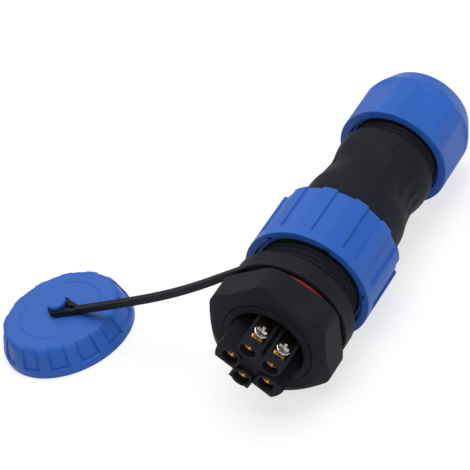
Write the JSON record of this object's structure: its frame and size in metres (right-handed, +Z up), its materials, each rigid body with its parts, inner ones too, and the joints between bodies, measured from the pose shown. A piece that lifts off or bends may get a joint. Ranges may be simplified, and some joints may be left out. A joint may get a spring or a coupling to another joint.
{
  "type": "circular power connector",
  "caption": "Mated plastic circular connector: panel socket with nut, screw-coupled cable plug with gland, and a tethered dust cap.",
  "frame": {"origin": "on the connector's axis, at the rear face of the socket's flange", "axes": "+Y along the connector's axis from the terminals to the cable gland, +Z up from the table, the dust cap lies towards -X"},
  "size_m": [0.093, 0.0861, 0.0292],
  "materials": {
    "black_plastic": "moulded, fine satin",
    "blue_plastic": "moulded, satin gloss",
    "red_silicone": "smooth matt",
    "black_rubber": "moulded matt",
    "brass": "machined",
    "nickel_steel": "bright nickel plate"
  },
  "bodies": {
    "socket": {"socket_shell": "black_plastic", "socket_insert": "black_plastic", "socket_contact_1": "brass", "socket_contact_2": "brass", "socket_contact_3": "brass", "socket_contact_4": "brass", "socket_contact_5": "brass", "socket_clamp_screws": "nickel_steel", "tether_strap": "black_rubber"},
    "panel_gasket": {"panel_gasket": "red_silicone"},
    "hex_nut": {"hex_nut": "black_plastic"},
    "dust_cap": {"cap": "blue_plastic", "cap_seal": "black_rubber"},
    "plug": {"plug_shell": "black_plastic", "interface_seal": "black_rubber", "plug_insert": "black_plastic", "insert_ring": "black_plastic", "plug_contact_1": "brass", "plug_contact_2": "brass", "plug_contact_3": "brass", "plug_contact_4": "brass", "plug_contact_5": "brass", "plug_clamp_screws": "nickel_steel", "back_body": "black_plastic", "body_seal": "black_rubber", "gland_seal": "black_rubber", "gland_claw": "black_plastic"},
    "coupling_ring": {"coupling_ring": "blue_plastic"},
    "gland_washer": {"gland_washer": "black_plastic"},
    "gland_nut": {"gland_nut": "blue_plastic"}
  },
  "joints": [
    {"name": "plug_slide", "type": "slide", "parent": "socket", "child": "plug", "axis": [0, 1, 0], "range_m": [0, 0.0063]},
    {"name": "ring_turn", "type": "hinge", "parent": "plug", "child": "coupling_ring", "pos_m": [0, 0.016, 0], "axis": [0, 1, 0], "range_deg": [0, 1512]},
    {"name": "nut_slide", "type": "slide", "parent": "socket", "child": "panel_gasket", "axis": [0, 1, 0], "range_m": [-0.0079, 0.0001]},
    {"name": "nut_turn", "type": "hinge", "parent": "panel_gasket", "child": "hex_nut", "pos_m": [0, -0.0065, 0], "axis": [0, 1, 0], "range_deg": [-1896, 24]},
    {"name": "gland_slide", "type": "slide", "parent": "plug", "child": "gland_washer", "axis": [0, 1, 0], "range_m": [-0.0028, 0.0056]},
    {"name": "gland_turn", "type": "hinge", "parent": "gland_washer", "child": "gland_nut", "pos_m": [0, 0.06, 0], "axis": [0, 1, 0], "range_deg": [-672, 1344]},
    {"name": "cap_swivel", "type": "hinge", "parent": "socket", "child": "dust_cap", "pos_m": [-0.06335, 0.0009, -0.0069], "axis": [0, 0, 1], "continuous": true}
  ],
  "couplings": [
    {"joint": "ring_turn", "follows": "plug_slide", "rad_per_m": 4188.8},
    {"joint": "nut_turn", "follows": "nut_slide", "rad_per_m": 4188.8},
    {"joint": "gland_turn", "follows": "gland_slide", "rad_per_m": 4188.8}
  ]
}
